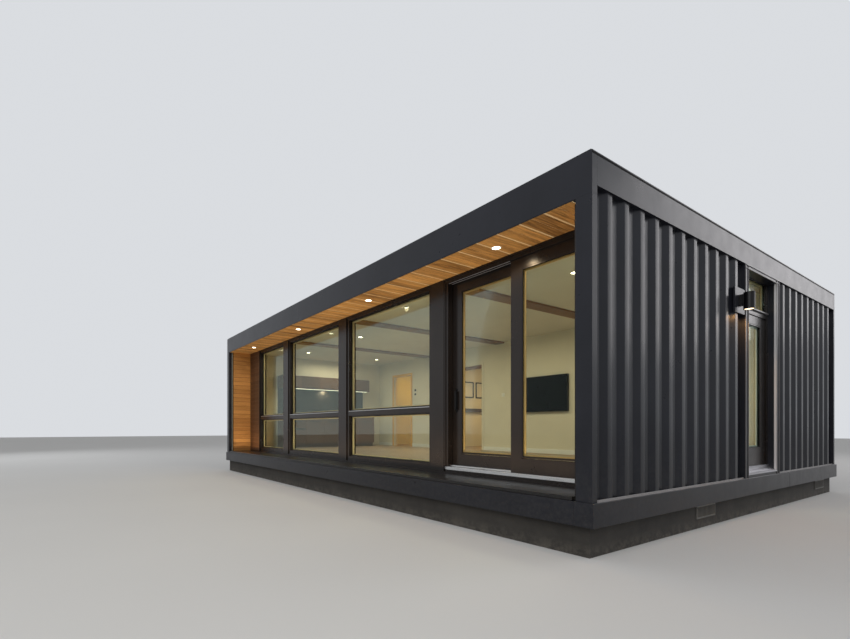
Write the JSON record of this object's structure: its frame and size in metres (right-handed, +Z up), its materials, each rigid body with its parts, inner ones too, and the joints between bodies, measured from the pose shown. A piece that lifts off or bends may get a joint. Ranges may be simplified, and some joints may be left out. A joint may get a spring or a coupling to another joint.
{
  "type": "shipping container cabin",
  "caption": "Single-storey cabin of joined steel container modules with corrugated walls, a recessed glass front, a sliding patio door and a glazed side door.",
  "frame": {"origin": "middle of the plan at ground level, on the underside of the middle footing", "axes": "+X along the front to the side with the door, +Y to the back, +Z up"},
  "size_m": [9.919, 7.359, 3.37],
  "materials": {
    "charcoal_steel": "semi-gloss charcoal paint",
    "foundation": "dark grey concrete",
    "vent_metal": "light grey paint",
    "cedar": "oiled cedar boards",
    "porch_plate": "semi-gloss dark grey paint",
    "floor_boards": "satin floor boards",
    "room_lining": "matt cream paint",
    "dark_bronze": "satin dark bronze paint",
    "pale_metal": "mill finish",
    "glass": "clear, slightly green",
    "black_metal": "satin black paint",
    "lamp_lens": "warm opal lens",
    "roof_steel": "grey paint",
    "dark_wood": "satin stained wood",
    "screen": "dark screen"
  },
  "bodies": {
    "cabin": {"foundation_sides": "foundation", "foundation_ends": "foundation", "foundation_joints": "foundation", "foundation_vents": "vent_metal", "base_rail_sides": "charcoal_steel", "base_rail_ends": "charcoal_steel", "floor_frame": "charcoal_steel", "floor": "floor_boards", "porch_floor": "porch_plate", "window_ledge": "dark_bronze", "corner_posts": "charcoal_steel", "back_joint_posts": "charcoal_steel", "porch_posts": "dark_bronze", "fascia_front": "charcoal_steel", "fascia_back": "charcoal_steel", "fascia_sides": "charcoal_steel", "roof_cap": "charcoal_steel", "roof_rails": "roof_steel", "roof_covers": "roof_steel", "roof_panels": "roof_steel", "front_header": "dark_bronze", "ceiling": "room_lining", "soffit": "cedar", "soffit_downlights": "lamp_lens", "wall_right": "charcoal_steel", "wall_left": "charcoal_steel", "wall_back": "charcoal_steel", "partition_walls": "room_lining", "ceiling_beams": "dark_wood", "kitchen_units": "dark_wood", "wall_screen": "screen", "lining_left": "room_lining", "lining_right": "room_lining", "lining_back": "room_lining", "window_frames": "dark_bronze", "window_glass": "glass", "solid_bay_wall": "room_lining", "solid_bay_cladding": "cedar", "wing_cladding": "cedar", "patio_jambs": "dark_bronze", "patio_head_rail": "dark_bronze", "patio_threshold": "pale_metal", "fixed_panel": "dark_bronze", "side_door_surround": "charcoal_steel", "side_door_head": "charcoal_steel", "side_door_jambs": "dark_bronze", "side_door_bar": "dark_bronze", "side_door_stops": "dark_bronze", "side_door_transom": "glass", "side_door_sill": "pale_metal", "lamp_plate": "charcoal_steel", "wall_lamp": "black_metal", "lamp_lens": "lamp_lens"},
    "patio_panel": {"sliding_panel": "dark_bronze", "sliding_panel_glass": "glass", "patio_pulls": "black_metal"},
    "side_door": {"side_door_leaf": "dark_bronze", "side_door_glass": "glass", "side_door_hinges": "pale_metal", "side_door_levers": "black_metal"}
  },
  "joints": [
    {"name": "patio_door_slide", "type": "slide", "parent": "cabin", "child": "patio_panel", "axis": [1, 0, 0], "range_m": [0, 0.85]},
    {"name": "side_door_hinge", "type": "hinge", "parent": "cabin", "child": "side_door", "pos_m": [4.719, 0.712, 0.566], "axis": [0, 0, -1], "range_deg": [0, 90]}
  ]
}
